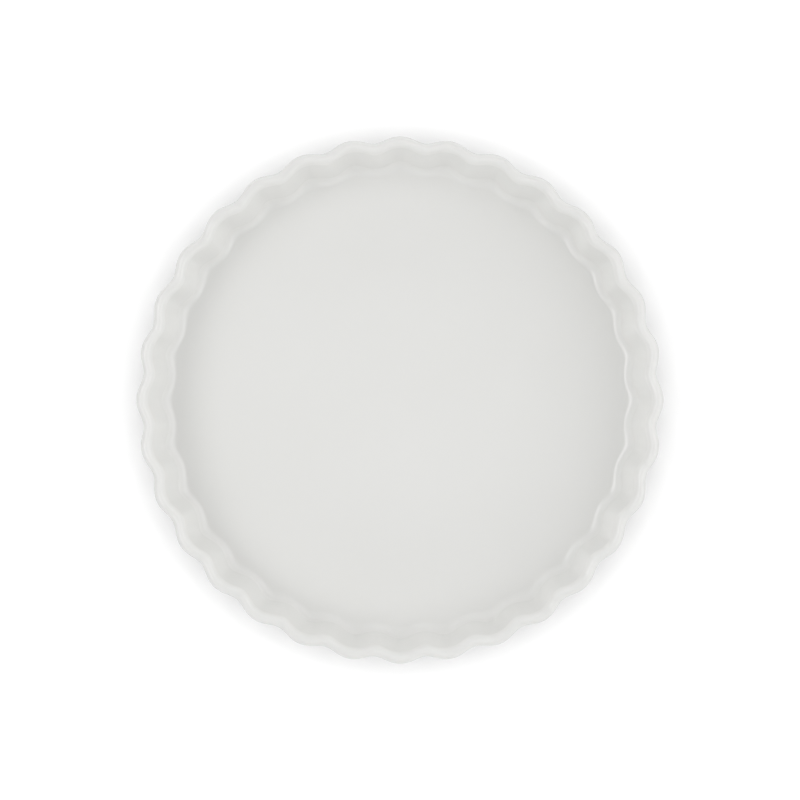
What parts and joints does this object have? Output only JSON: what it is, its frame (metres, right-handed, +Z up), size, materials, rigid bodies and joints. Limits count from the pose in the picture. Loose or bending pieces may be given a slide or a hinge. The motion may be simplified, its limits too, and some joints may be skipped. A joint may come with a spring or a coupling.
{
  "type": "tart dish",
  "caption": "Round shallow tart dish in white glazed stoneware, with a fluted wall that leans out to a rounded rim and a bare foot ring, for baking and serving tarts and quiches.",
  "frame": {"origin": "on the table, in the middle of the foot ring", "axes": "+Z up along the dish's axis, +X through a flute crest"},
  "size_m": [0.28, 0.28, 0.038],
  "materials": {
    "bare_stoneware": "matte, unglazed",
    "white_glaze": "gloss"
  },
  "bodies": {
    "root": {"stoneware_body": "bare_stoneware", "glaze_coat": "white_glaze", "base_glaze": "white_glaze"}
  },
  "joints": []
}
